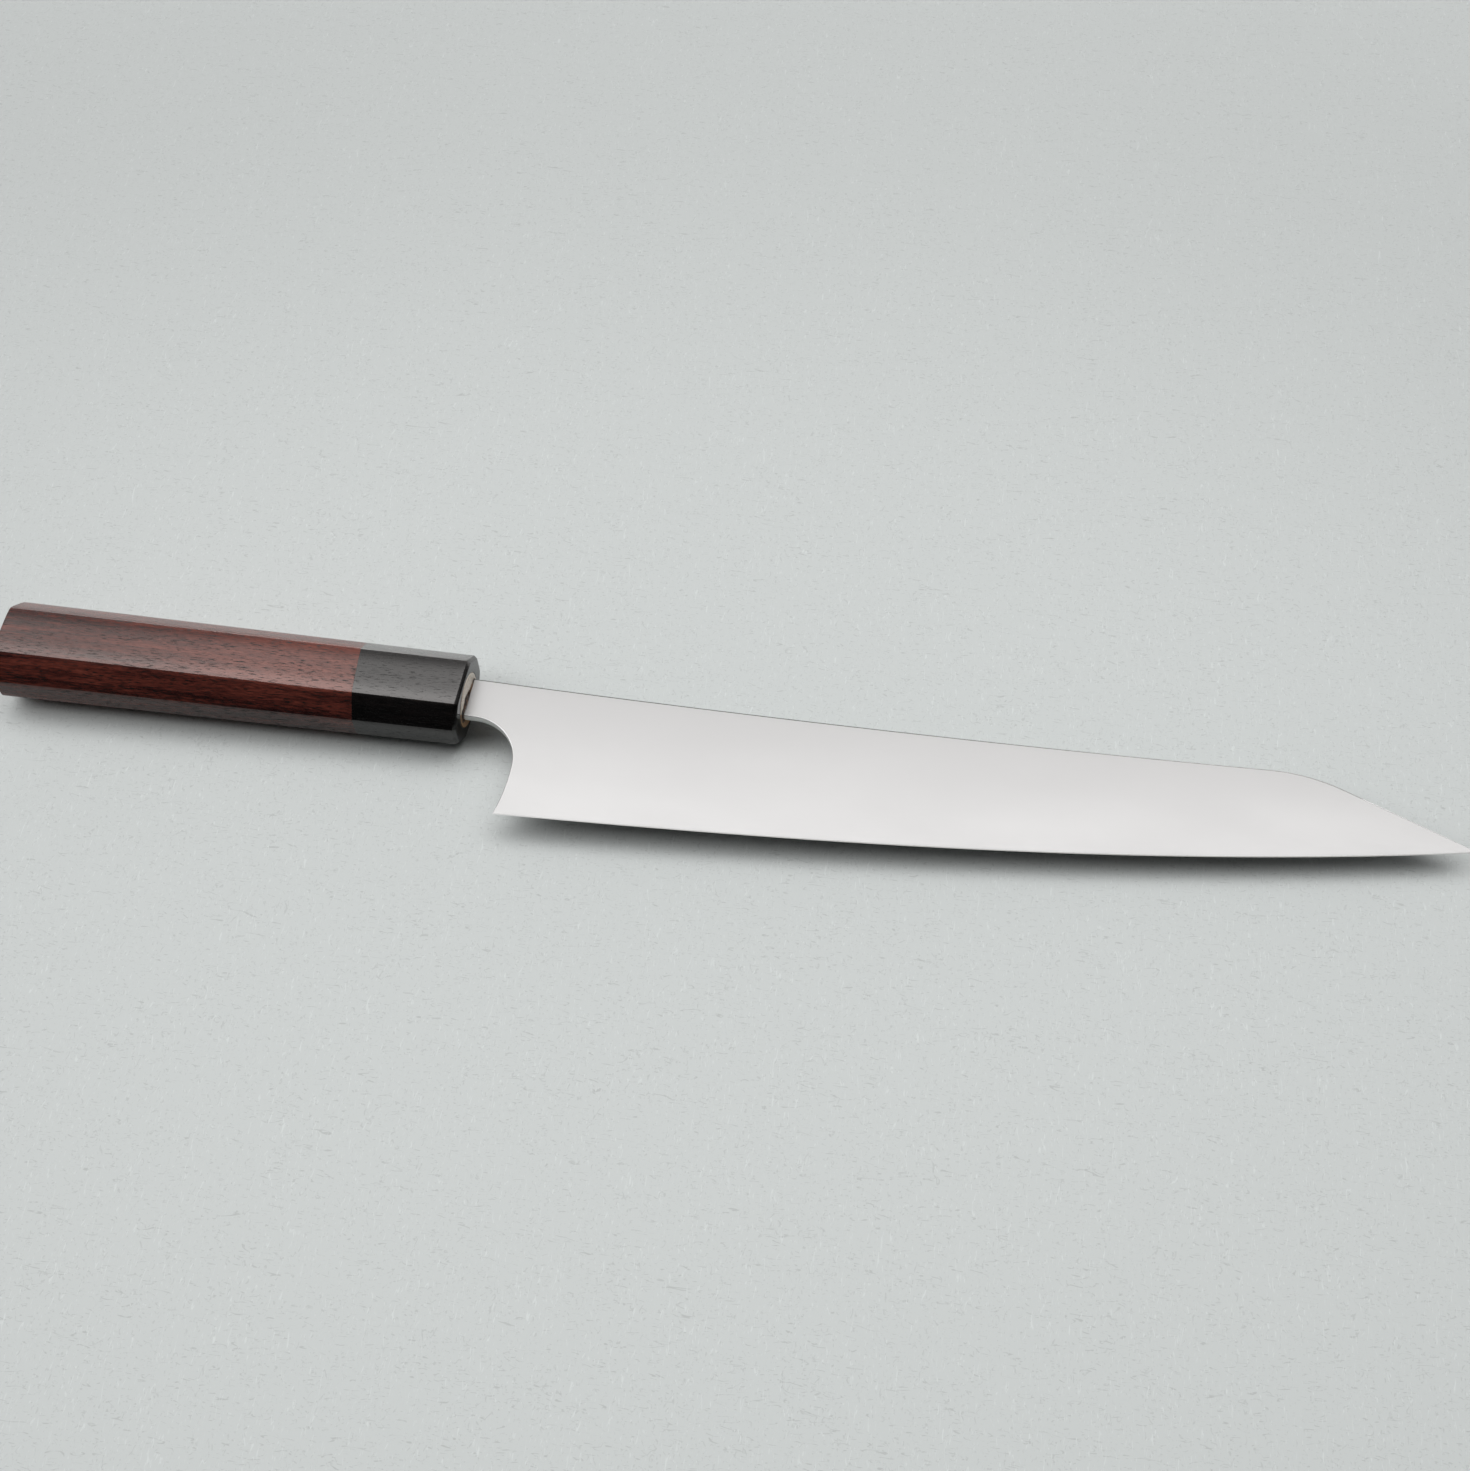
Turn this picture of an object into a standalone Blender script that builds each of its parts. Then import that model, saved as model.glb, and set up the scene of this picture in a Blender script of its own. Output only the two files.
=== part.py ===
# Sujihiki slicing knife with an octagonal wooden handle, lying on its side.
#
# Knife frame: +X runs from butt to tip with X = 0 at the ferrule's front face,
# +Y points to the spine, and +Z is square to the flat of the blade.
# Sizes are in metres and angles in radians.

import math

import bmesh
import bpy
from mathutils import Vector

# Blade profile
BLADE_LENGTH = 0.2717
HEEL_DROP = 0.03576
TIP_DROP = 0.01204
EDGE_ANGLE_HEEL = math.radians(1.67)
EDGE_ANGLE_TIP = math.radians(10.3)
SPINE_HEIGHT = 0.00675
SPINE_SAG = 0.00145
SHOULDER_SETBACK = 0.0567
SHOULDER_RADIUS = 0.050

# Neck and choil
NECK_DEPTH = 0.00605
NECK_LENGTH = 0.0029
CHOIL_RADIUS = 0.0136
HEEL_OVERHANG = 0.0025

# Blade thickness
SPINE_THICKNESS_NECK = 0.0027
SPINE_THICKNESS_SHOULDER = 0.0016
SPINE_THICKNESS_TIP = 0.0012
GRIND_CONVEXITY = 2.1

# Tang
TANG_LENGTH = 0.085
TANG_END_HEIGHT = 0.007
TANG_END_THICKNESS = 0.0020

# Octagonal handle, measured across its flats at the ferrule's front and at the butt
FERRULE_LENGTH = 0.0315
GRIP_LENGTH = 0.1065
FRONT_HEIGHT = 0.0262
FRONT_THICKNESS = 0.0195
FRONT_CHAMFER = 0.0058
BUTT_HEIGHT = 0.0284
BUTT_THICKNESS = 0.0213
BUTT_CHAMFER = 0.0067
FERRULE_BEVEL_INSET = 0.00135
FERRULE_BEVEL_LENGTH = 0.0018
BUTT_BEVEL_INSET = 0.0010
BUTT_BEVEL_LENGTH = 0.0015

# Dowel core and the bedding that holds the tang in it
DOWEL_RADIUS = 0.0083
DOWEL_PAST_TANG = 0.007
BEDDING_WALL = 0.0005
BEDDING_RECESS = 0.0003
CORNER_RADIUS = 0.0003

# Clearances
FIT_GAP = 0.0003
BORE_END_GAP = 0.0005

# Facet counts and the reach of a cutter past what it cuts
DOWEL_FACETS = 64
CORNER_FACETS = 3
SPINE_STEPS = 20
SHOULDER_STEPS = 8
CHOIL_STEPS = 14
HEEL_STEPS = 6
GRIND_STATIONS = 26
CUT_MARGIN = 0.004
GRIND_LEVELS = (0.0, 0.08, 0.2, 0.36, 0.56, 0.78, 1.0)

HANDLE_LENGTH = FERRULE_LENGTH + FIT_GAP + GRIP_LENGTH
CHOIL_X = NECK_LENGTH + CHOIL_RADIUS
HEEL_X = CHOIL_X - HEEL_OVERHANG
TIP_X = HEEL_X + BLADE_LENGTH
SHOULDER_X = TIP_X - SHOULDER_SETBACK


def clear_scene():
    for obj in list(bpy.data.objects):
        bpy.data.objects.remove(obj, do_unlink=True)


def make_material(name, colour, roughness, metallic):
    material = bpy.data.materials.new(name)
    material.use_nodes = True
    shader = material.node_tree.nodes["Principled BSDF"]
    shader.inputs["Base Color"].default_value = (*colour, 1.0)
    shader.inputs["Roughness"].default_value = roughness
    shader.inputs["Metallic"].default_value = metallic
    return material


def make_object(name, bm, frame, material=None):
    bmesh.ops.recalc_face_normals(bm, faces=bm.faces[:])
    mesh = bpy.data.meshes.new(name)
    bm.to_mesh(mesh)
    bm.free()
    obj = bpy.data.objects.new(name, mesh)
    bpy.context.scene.collection.objects.link(obj)
    obj.parent = frame
    if material:
        mesh.materials.append(material)
    else:
        obj.hide_render = True
        obj.display_type = "WIRE"
    return obj


def cut(obj, cutter, operation="DIFFERENCE"):
    modifier = obj.modifiers.new(cutter.name, "BOOLEAN")
    modifier.object = cutter
    modifier.operation = operation
    modifier.solver = "EXACT"


def loft(loops):
    """Closed solid through loops of as many points each."""
    bm = bmesh.new()
    rings = []
    for loop in loops:
        verts = [bm.verts.new(point) for point in loop]
        edges = [bm.edges.new((verts[i - 1], verts[i])) for i in range(len(verts))]
        rings.append((verts, edges))
    for (_, before), (_, after) in zip(rings, rings[1:]):
        bmesh.ops.bridge_loops(bm, edges=before + after)
    bm.faces.new(rings[0][0])
    bm.faces.new(rings[-1][0])
    return bm


def arc(centre, radius, start, end, steps):
    angles = [start + (end - start) * i / steps for i in range(steps + 1)]
    return [centre + radius * Vector((math.cos(a), math.sin(a))) for a in angles]


def blend(front, back, share):
    return front + (back - front) * share


# Blade

def spine_y(x):
    share = max(x, 0.0) / SHOULDER_X
    return SPINE_HEIGHT - SPINE_SAG * 4.0 * share * (1.0 - share)


def edge_point(share):
    """Cutting edge from heel (0) to tip (1): one smooth curve set by its two end angles."""
    heel = Vector((HEEL_X, -HEEL_DROP))
    tip = Vector((TIP_X, -TIP_DROP))
    pull = BLADE_LENGTH / 3.0
    after_heel = heel + pull * Vector((math.cos(EDGE_ANGLE_HEEL), math.sin(EDGE_ANGLE_HEEL)))
    before_tip = tip - pull * Vector((math.cos(EDGE_ANGLE_TIP), math.sin(EDGE_ANGLE_TIP)))
    rest = 1.0 - share
    return (
        rest**3 * heel
        + 3.0 * rest**2 * share * after_heel
        + 3.0 * rest * share**2 * before_tip
        + share**3 * tip
    )


def shoulder_curve():
    """Rounded corner between the spine and the straight slanted end of the blade."""
    slope = math.atan(4.0 * SPINE_SAG / SHOULDER_X)
    start = Vector((SHOULDER_X, SPINE_HEIGHT))
    centre = start + SHOULDER_RADIUS * Vector((math.sin(slope), -math.cos(slope)))
    to_tip = Vector((TIP_X, -TIP_DROP)) - centre
    turn = math.acos(SHOULDER_RADIUS / to_tip.length)
    tangent_angle = math.atan2(to_tip.y, to_tip.x) + turn
    return arc(centre, SHOULDER_RADIUS, math.pi / 2.0 + slope, tangent_angle, SHOULDER_STEPS)


def choil_curve():
    """Notch between neck and heel: a quarter round, then a flatter sweep back to the heel."""
    notch_centre = Vector((NECK_LENGTH, -NECK_DEPTH - CHOIL_RADIUS))
    notch = arc(notch_centre, CHOIL_RADIUS, math.pi / 2.0, 0.0, CHOIL_STEPS)
    deepest = notch[-1]
    drop = HEEL_DROP + deepest.y
    sweep_radius = (drop**2 + HEEL_OVERHANG**2) / (2.0 * HEEL_OVERHANG)
    sweep_centre = deepest - Vector((sweep_radius, 0.0))
    sweep = arc(sweep_centre, sweep_radius, 0.0, -math.asin(drop / sweep_radius), HEEL_STEPS)
    return notch + sweep[1:]


def tang_bounds(x):
    """Lower and upper edge of the tang and its thickness, at a place X behind the ferrule's face."""
    share = -x / TANG_LENGTH
    low = blend(-NECK_DEPTH, -TANG_END_HEIGHT / 2.0, share)
    high = blend(SPINE_HEIGHT, TANG_END_HEIGHT / 2.0, share)
    thickness = blend(SPINE_THICKNESS_NECK, TANG_END_THICKNESS, share)
    return low, high, thickness


def blade_outline():
    low, high, _ = tang_bounds(-TANG_LENGTH)
    nose = TANG_END_HEIGHT / 3.0
    outline = [
        Vector((-TANG_LENGTH + nose, high)),
        Vector((0.0, SPINE_HEIGHT)),
    ]
    for i in range(1, SPINE_STEPS):
        x = SHOULDER_X * i / SPINE_STEPS
        outline.append(Vector((x, spine_y(x))))
    shoulder = shoulder_curve()
    outline += shoulder
    tip = Vector((TIP_X, -TIP_DROP))
    past_tip = tip + (tip - shoulder[-1]).normalized() * CUT_MARGIN
    choil = choil_curve()
    past_heel = choil[-1] + (choil[-1] - choil[-2]).normalized() * CUT_MARGIN
    outline += [past_tip, Vector((past_tip.x, past_heel.y)), past_heel]
    outline += reversed(choil)
    outline.append(Vector((0.0, -NECK_DEPTH)))
    outline.append(Vector((-TANG_LENGTH + nose, low)))
    outline.append(Vector((-TANG_LENGTH, low + nose)))
    outline.append(Vector((-TANG_LENGTH, high - nose)))
    return outline


def spine_thickness(x):
    if x < 0.0:
        return blend(SPINE_THICKNESS_NECK, TANG_END_THICKNESS, -x / TANG_LENGTH)
    if x < SHOULDER_X:
        return blend(SPINE_THICKNESS_NECK, SPINE_THICKNESS_SHOULDER, x / SHOULDER_X)
    share = (x - SHOULDER_X) / SHOULDER_SETBACK
    return blend(SPINE_THICKNESS_SHOULDER, SPINE_THICKNESS_TIP, share)


def grind_loop(x, edge_y):
    """Section of the ground blade at X: a slender convex wedge with its apex on the edge."""
    top_y = spine_y(min(x, SHOULDER_X))
    half = spine_thickness(x) / 2.0
    side = []
    for level in GRIND_LEVELS[1:]:
        z = half * (1.0 - (1.0 - level) ** GRIND_CONVEXITY)
        side.append((blend(edge_y, top_y, level), z))
    side.append((top_y + CUT_MARGIN, half))
    loop = [(x, edge_y, 0.0)]
    loop += [(x, y, z) for y, z in side]
    loop += [(x, y, -z) for y, z in reversed(side)]
    return loop


def make_blade(frame):
    steel = make_material("satin_steel", (0.66, 0.65, 0.64), 0.30, 1.0)
    plate = bmesh.new()
    reach = SPINE_THICKNESS_NECK
    verts = [plate.verts.new((point.x, point.y, -reach)) for point in blade_outline()]
    face = plate.faces.new(verts)
    grown = bmesh.ops.extrude_face_region(plate, geom=[face])
    top = [part for part in grown["geom"] if isinstance(part, bmesh.types.BMVert)]
    bmesh.ops.translate(plate, vec=(0.0, 0.0, 2.0 * reach), verts=top)
    blade = make_object("blade", plate, frame, steel)

    loops = []
    for x in (-TANG_LENGTH - CUT_MARGIN, 0.0):
        loops.append(grind_loop(x, -HEEL_DROP))
    for i in range(GRIND_STATIONS + 1):
        point = edge_point(i / GRIND_STATIONS)
        loops.append(grind_loop(point.x, point.y))
    beyond = 2.0 * CUT_MARGIN
    past_tip = -TIP_DROP + beyond * math.tan(EDGE_ANGLE_TIP)
    loops.append(grind_loop(TIP_X + beyond, past_tip))
    grind = make_object("grind_envelope", loft(loops), frame)
    cut(blade, grind, "INTERSECT")


# Handle

def octagon_loop(x, inset=0.0):
    """Handle section at X, in by an even inset on all eight flats."""
    share = -x / HANDLE_LENGTH
    half_height = blend(FRONT_HEIGHT, BUTT_HEIGHT, share) / 2.0 - inset
    half_thickness = blend(FRONT_THICKNESS, BUTT_THICKNESS, share) / 2.0 - inset
    leg = blend(FRONT_CHAMFER, BUTT_CHAMFER, share) - inset * (2.0 - math.sqrt(2.0))
    corner = [
        (half_height, half_thickness - leg),
        (half_height - leg, half_thickness),
    ]
    upper = corner + [(-y, z) for y, z in reversed(corner)]
    lower = [(-y, -z) for y, z in upper]
    return [(x, y, z) for y, z in upper + lower]


def circle_loop(x, radius):
    turns = [2.0 * math.pi * i / DOWEL_FACETS for i in range(DOWEL_FACETS)]
    return [(x, radius * math.cos(a), radius * math.sin(a)) for a in turns]


def make_ferrule(frame):
    ebony = make_material("ebony", (0.030, 0.028, 0.027), 0.32, 0.0)
    loops = [
        octagon_loop(0.0, FERRULE_BEVEL_INSET),
        octagon_loop(-FERRULE_BEVEL_LENGTH),
        octagon_loop(-FERRULE_LENGTH),
    ]
    ferrule = make_object("ferrule", loft(loops), frame, ebony)
    bore_radius = DOWEL_RADIUS + FIT_GAP
    ends = (CUT_MARGIN, -FERRULE_LENGTH - CUT_MARGIN)
    bore = make_object("ferrule_bore", loft([circle_loop(x, bore_radius) for x in ends]), frame)
    cut(ferrule, bore)


def make_grip(frame):
    rosewood = make_material("rosewood", (0.130, 0.040, 0.030), 0.34, 0.0)
    joint = -FERRULE_LENGTH - FIT_GAP
    loops = [
        octagon_loop(joint),
        octagon_loop(-HANDLE_LENGTH + BUTT_BEVEL_LENGTH),
        octagon_loop(-HANDLE_LENGTH, BUTT_BEVEL_INSET),
    ]
    grip = make_object("grip", loft(loops), frame, rosewood)
    bore_radius = DOWEL_RADIUS + FIT_GAP
    ends = (joint + CUT_MARGIN, -dowel_length() - BORE_END_GAP)
    bore = make_object("grip_bore", loft([circle_loop(x, bore_radius) for x in ends]), frame)
    cut(grip, bore)


# Dowel core and bedding

def dowel_length():
    return TANG_LENGTH + FIT_GAP + BEDDING_WALL + FIT_GAP + DOWEL_PAST_TANG


def tang_envelope_loop(x, grow):
    """Rounded rectangle round the tang's section at X, out by an even distance."""
    low, high, thickness = tang_bounds(x)
    radius = CORNER_RADIUS + grow
    corners = [
        (high - CORNER_RADIUS, thickness / 2.0 - CORNER_RADIUS, 0.0),
        (low + CORNER_RADIUS, thickness / 2.0 - CORNER_RADIUS, 0.5),
        (low + CORNER_RADIUS, -thickness / 2.0 + CORNER_RADIUS, 1.0),
        (high - CORNER_RADIUS, -thickness / 2.0 + CORNER_RADIUS, 1.5),
    ]
    loop = []
    for y, z, start in corners:
        quarter = arc(
            Vector((y, z)), radius, start * math.pi, (start + 0.5) * math.pi, CORNER_FACETS
        )
        loop += [(x, point.x, point.y) for point in quarter]
    return loop


def tang_envelope(front, grow):
    """Tapered solid round the tang, from X = front to as far past its end as it stands out."""
    ends = (front, -TANG_LENGTH - grow)
    return loft([tang_envelope_loop(x, grow) for x in ends])


def make_dowel(frame):
    pale_wood = make_material("pale_wood", (0.52, 0.38, 0.27), 0.60, 0.0)
    ends = (0.0, -dowel_length())
    dowel = make_object(
        "dowel_core", loft([circle_loop(x, DOWEL_RADIUS) for x in ends]), frame, pale_wood
    )
    slot_grow = FIT_GAP + BEDDING_WALL + FIT_GAP
    slot = make_object("tang_slot", tang_envelope(CUT_MARGIN, slot_grow), frame)
    cut(dowel, slot)


def make_bedding(frame):
    resin = make_material("dark_resin", (0.050, 0.026, 0.014), 0.50, 0.0)
    outer = FIT_GAP + BEDDING_WALL
    bedding = make_object("tang_bedding", tang_envelope(-BEDDING_RECESS, outer), frame, resin)
    pocket = make_object("tang_pocket", tang_envelope(CUT_MARGIN, FIT_GAP), frame)
    cut(bedding, pocket)


# Resting place

def place_on_side(frame):
    """Turns the handle's lower flat level, then centres the knife over the origin on Z = 0."""
    tilt = math.atan((BUTT_THICKNESS - FRONT_THICKNESS) / 2.0 / HANDLE_LENGTH)
    butt_corner_z = BUTT_THICKNESS / 2.0 - BUTT_BEVEL_INSET
    rear = -HANDLE_LENGTH * math.cos(tilt) - butt_corner_z * math.sin(tilt)
    front = TIP_X * math.cos(tilt)
    lowest = -FRONT_THICKNESS / 2.0 * math.cos(tilt)
    frame.rotation_euler.y = tilt
    frame.location = (-(front + rear) / 2.0, (HEEL_DROP - BUTT_HEIGHT / 2.0) / 2.0, -lowest)


clear_scene()
knife = bpy.data.objects.new("knife_frame", None)
bpy.context.scene.collection.objects.link(knife)
make_blade(knife)
make_ferrule(knife)
make_grip(knife)
make_dowel(knife)
make_bedding(knife)
place_on_side(knife)
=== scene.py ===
# Long slicing knife lying on its side: satin steel blade, ebony ferrule, rosewood grip.
# Shapes are in millimetres in the knife's own frame: +X from butt to tip with 0 at the
# ferrule's front face, +Y to the spine, +Z square to the flat of the blade.
import math

import bmesh
import bpy
from mathutils import Matrix, Vector


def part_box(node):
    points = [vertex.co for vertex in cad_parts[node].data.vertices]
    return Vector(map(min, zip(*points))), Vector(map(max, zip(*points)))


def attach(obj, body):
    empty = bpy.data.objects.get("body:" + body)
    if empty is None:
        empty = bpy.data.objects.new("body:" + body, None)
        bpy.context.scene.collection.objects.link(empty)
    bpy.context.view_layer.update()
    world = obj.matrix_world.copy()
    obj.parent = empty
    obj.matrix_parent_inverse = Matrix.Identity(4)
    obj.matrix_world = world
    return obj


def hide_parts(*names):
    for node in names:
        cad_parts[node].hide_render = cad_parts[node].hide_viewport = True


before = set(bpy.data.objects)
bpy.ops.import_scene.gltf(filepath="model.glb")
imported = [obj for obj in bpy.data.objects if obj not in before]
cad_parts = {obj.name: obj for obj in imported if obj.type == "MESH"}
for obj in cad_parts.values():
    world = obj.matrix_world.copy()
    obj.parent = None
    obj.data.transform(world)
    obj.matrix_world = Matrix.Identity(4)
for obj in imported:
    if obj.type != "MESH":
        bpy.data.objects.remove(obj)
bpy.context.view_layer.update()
print("frame loaded,", len(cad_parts), "nodes")

mm = 0.001


def mix(a, b, share):
    return a + (b - a) * share


def ease(share):
    return share * share * (3 - 2 * share)


def spread(first, last, steps):
    return [mix(first, last, i / steps) for i in range(steps + 1)]


# Sizes

blade = dict(
    length=271.7,
    heelDrop=35.76,
    tipDrop=12.04,
    edgeAngleHeel=1.67,
    edgeAngleTip=10.3,
    spineHeight=6.75,
    spineSag=1.45,
    shoulderSetback=56.7,
    shoulderRadius=50.0,
    neckDepth=6.05,
    neckLength=2.9,
    choilRadius=13.6,
    heelOverhang=2.5,
    spineAtNeck=2.7,
    spineAtShoulder=1.6,
    spineAtTip=1.2,
    grindCurve=2.1,
    behindEdge=0.06,  # half thickness just behind the honed bevel
    honedWidth=0.35,
    spineRounding=0.52,
    choilRounding=0.18,
    tangLength=85.0,
    tangEndHeight=7.0,
    tangEndThickness=2.0,
)

handle = dict(
    ferruleLength=31.5,
    gripLength=106.5,
    fitGap=0.3,
    frontHeight=26.2,
    frontThickness=19.5,
    frontChamfer=5.8,
    buttHeight=28.4,
    buttThickness=21.3,
    buttChamfer=6.7,
    ferruleFace=-0.28,  # place of the ferrule's front face, a little behind the dowel's end
    faceLean=0.045,  # how far it leans forward toward the spine, per mm of height
    ferruleBevel=(0.95, 0.75),  # length and inset
    buttEnd=-137.0,
    buttBevel=(0.5, 0.5),
    arris=0.25,  # rounding of the eight long corners
    crown=0.022,  # rise of each flat's middle, as a share of its width
    crownPower=4.5,  # each flat is level in the middle and falls away to its corners
    seamAt=-31.6,
    seamLean=-0.06,  # the two woods meet on a slightly slanted plane
    leanFade=2.0,  # the slant is gone this far from where they meet
    seam=0.02,  # hairline between them
    seamBand=0.02,  # narrow first band that keeps the edge at the joint crisp
    gripSoft=0.2,  # rounding of the corners of the two bevels
    ferruleSoft=0.12,
)

dowel = dict(
    radius=8.05,
    boreGap=0.03,
    endAt=-0.12,
    endLean=0.045,  # its end leans forward toward the spine
    pastTang=7.0,
    backBevel=1.0,
    leanFrom=-3.0,  # behind this place core and bore are straight
    rimBreak=0.22,
    slotClearance=1.1,
    slotAt=(-20.0, -50.0),  # rings of the slot between its mouth and its end
    mouthDepth=2.6,
    mouthBreak=(0.15, 0.12),  # depth and inset
    fillet=0.5,  # how far the filler climbs from the dowel's end along the blade
)

heelX = blade["neckLength"] + blade["choilRadius"] - blade["heelOverhang"]
tipX = heelX + blade["length"]
shoulderX = tipX - blade["shoulderSetback"]
handleLength = handle["ferruleLength"] + handle["fitGap"] + handle["gripLength"]


def knifePlace():
    # the handle narrows to the front, so on its lower flat the knife leans by half the taper
    taper = (handle["buttThickness"] - handle["frontThickness"]) / 2
    lean = math.atan(taper / handleLength)
    low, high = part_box("blade")
    x = high[0] - tipX * mm * math.cos(lean)
    y = low[1] + blade["heelDrop"] * mm
    z = handle["frontThickness"] / 2 * mm * math.cos(lean)
    return Matrix.Translation((x, y, z)) @ Matrix.Rotation(lean, 4, "Y")


knifeFrame = knifePlace()


# Mesh helpers

def addPiece(name, points, faces, materials, node, marks=None):
    mesh = bpy.data.meshes.new(name)
    mesh.from_pydata([Vector(p) * mm for p in points], [], faces)
    for material in materials:
        mesh.materials.append(material)
    if marks:
        mesh.polygons.foreach_set("material_index", marks)
    bm = bmesh.new()
    bm.from_mesh(mesh)
    bmesh.ops.remove_doubles(bm, verts=bm.verts[:], dist=2e-7)
    bmesh.ops.dissolve_degenerate(bm, edges=bm.edges[:], dist=1e-8)
    bmesh.ops.recalc_face_normals(bm, faces=bm.faces[:])
    for face in bm.faces:
        face.smooth = True
    bm.to_mesh(mesh)
    bm.free()
    mesh.transform(knifeFrame)
    piece = bpy.data.objects.new(name, mesh)
    bpy.context.scene.collection.objects.link(piece)
    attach(piece, "root")
    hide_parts(node)
    print("made", name, "with", len(mesh.polygons), "faces")
    return piece


def ringFaces(rings, closed):
    # quads between rings of equal count; an open run of rings is capped at both ends
    count = len(rings[0])
    points = [p for ring in rings for p in ring]
    faces = []
    spans = len(rings) if closed else len(rings) - 1
    for i in range(spans):
        here = i * count
        there = (i + 1) % len(rings) * count
        for j in range(count):
            k = (j + 1) % count
            faces.append((here + j, here + k, there + k, there + j))
    if not closed:
        faces.append(tuple(range(count)))
        faces.append(tuple(range(len(points) - count, len(points))))
    return points, faces


# Blade shape

def spineY(x):
    share = max(x, 0) / shoulderX
    return blade["spineHeight"] - blade["spineSag"] * 4 * share * (1 - share)


def edgePoint(share):
    # one smooth curve from heel to tip, set by its two end angles
    heel = Vector((heelX, -blade["heelDrop"]))
    tip = Vector((tipX, -blade["tipDrop"]))
    pull = blade["length"] / 3
    a = math.radians(blade["edgeAngleHeel"])
    b = math.radians(blade["edgeAngleTip"])
    afterHeel = heel + pull * Vector((math.cos(a), math.sin(a)))
    beforeTip = tip - pull * Vector((math.cos(b), math.sin(b)))
    rest = 1 - share
    return (
        rest**3 * heel
        + 3 * rest**2 * share * afterHeel
        + 3 * rest * share**2 * beforeTip
        + share**3 * tip
    )


def edgeY(x):
    if x <= heelX:
        return -blade["heelDrop"]
    low, high = 0.0, 1.0
    for _ in range(26):
        middle = (low + high) / 2
        if edgePoint(middle).x < x:
            low = middle
        else:
            high = middle
    return edgePoint(low).y


def spineThickness(x):
    if x < 0:
        return mix(blade["spineAtNeck"], blade["tangEndThickness"], -x / blade["tangLength"])
    if x < shoulderX:
        return mix(blade["spineAtNeck"], blade["spineAtShoulder"], x / shoulderX)
    share = (x - shoulderX) / blade["shoulderSetback"]
    return mix(blade["spineAtShoulder"], blade["spineAtTip"], share)


def halfThickness(x, y):
    low = edgeY(x)
    high = spineY(min(x, shoulderX))
    level = min(max((y - low) / (high - low), 0), 1)
    ground = spineThickness(x) / 2 * (1 - (1 - level) ** blade["grindCurve"])
    return ground + blade["behindEdge"] * (1 - level)


def choilPoint(y):
    # outline point at height y below the neck, and the way out of the steel there
    centre = Vector((blade["neckLength"], -blade["neckDepth"] - blade["choilRadius"]))
    radius = blade["choilRadius"]
    if y < centre.y:
        deepest = centre + Vector((radius, 0))
        drop = blade["heelDrop"] + deepest.y
        over = blade["heelOverhang"]
        radius = (drop**2 + over**2) / (2 * over)
        centre = deepest - Vector((radius, 0))
    turn = math.asin(max(-1.0, min(1.0, (y - centre.y) / radius)))
    out = -Vector((math.cos(turn), math.sin(turn)))
    return centre - out * radius, out


def endPoint(share):
    # slanted end of the blade from tip (0) over the rounded shoulder to the spine (1)
    slope = math.atan(4 * blade["spineSag"] / shoulderX)
    start = Vector((shoulderX, blade["spineHeight"]))
    radius = blade["shoulderRadius"]
    centre = start + radius * Vector((math.sin(slope), -math.cos(slope)))
    tip = Vector((tipX, -blade["tipDrop"]))
    toTip = tip - centre
    reach = math.acos(radius / toTip.length)
    tangent = math.atan2(toTip.y, toTip.x) + reach
    leave = centre + radius * Vector((math.cos(tangent), math.sin(tangent)))
    straight = 0.6  # share of the way that the straight part takes
    if share < straight:
        out = Vector((math.cos(tangent), math.sin(tangent)))
        return tip.lerp(leave, share / straight), out
    turn = mix(tangent, math.pi / 2 + slope, (share - straight) / (1 - straight))
    out = Vector((math.cos(turn), math.sin(turn)))
    return centre + radius * out, out


def tangLow(x):
    if x >= 0:
        return -blade["neckDepth"]
    return mix(-blade["neckDepth"], -blade["tangEndHeight"] / 2, -x / blade["tangLength"])


def tangHigh(x):
    if x >= 0:
        return spineY(x)
    return mix(blade["spineHeight"], blade["tangEndHeight"] / 2, -x / blade["tangLength"])


def rimRounding(point, widest):
    return min(widest, 0.7 * halfThickness(point.x, point.y))


def bladeLevel(x, y):
    # height of a point as a share of the way from the honed line to the spine's rounding
    low = edgeY(x) + blade["honedWidth"]
    high = spineY(min(x, shoulderX)) - blade["spineRounding"]
    return (y - low) / (high - low)


def bladeHeight(x, level):
    low = edgeY(x) + blade["honedWidth"]
    high = spineY(min(x, shoulderX)) - blade["spineRounding"]
    return mix(low, high, level)


def leftEnds():
    # each row's start on the choil or, above it, on the neck: place, outline point, way out
    heelRows, choilRows = 9, 18
    crowding = 1.4  # brings the rows closer together toward the heel
    neckShares = (0.03, 0.12, 0.25, 0.4, 0.55, 0.7, 0.84, 0.94, 0.985, 1.0)
    ends = []
    deepY = -blade["neckDepth"] - blade["choilRadius"]
    honedY = -blade["heelDrop"] + blade["honedWidth"]
    heights = [mix(honedY, deepY, share**crowding) for share in spread(0, 1, heelRows)]
    turns = spread(0, math.pi / 2, choilRows)[1:]
    heights += [deepY + blade["choilRadius"] * math.sin(turn) for turn in turns]
    for y in heights:
        point, out = choilPoint(y)
        rounding = rimRounding(point, blade["choilRounding"])
        ends.append((point - out * rounding, point, out))
    neckX = blade["neckLength"]
    low = ends[-1][0].y
    high = spineY(neckX) - blade["spineRounding"]
    for share in neckShares:
        ends.append((Vector((neckX, mix(low, high, share))), None, None))
    return ends, len(heights) - 1


def rightEnd(level):
    # where the row of that level runs out on the slanted end
    low, high = 0.0, 1.0
    for _ in range(30):
        share = (low + high) / 2
        point, out = endPoint(share)
        inner = point - out * rimRounding(point, blade["spineRounding"])
        if bladeLevel(inner.x, inner.y) < level:
            low = share
        else:
            high = share
    return inner, point, out


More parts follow.
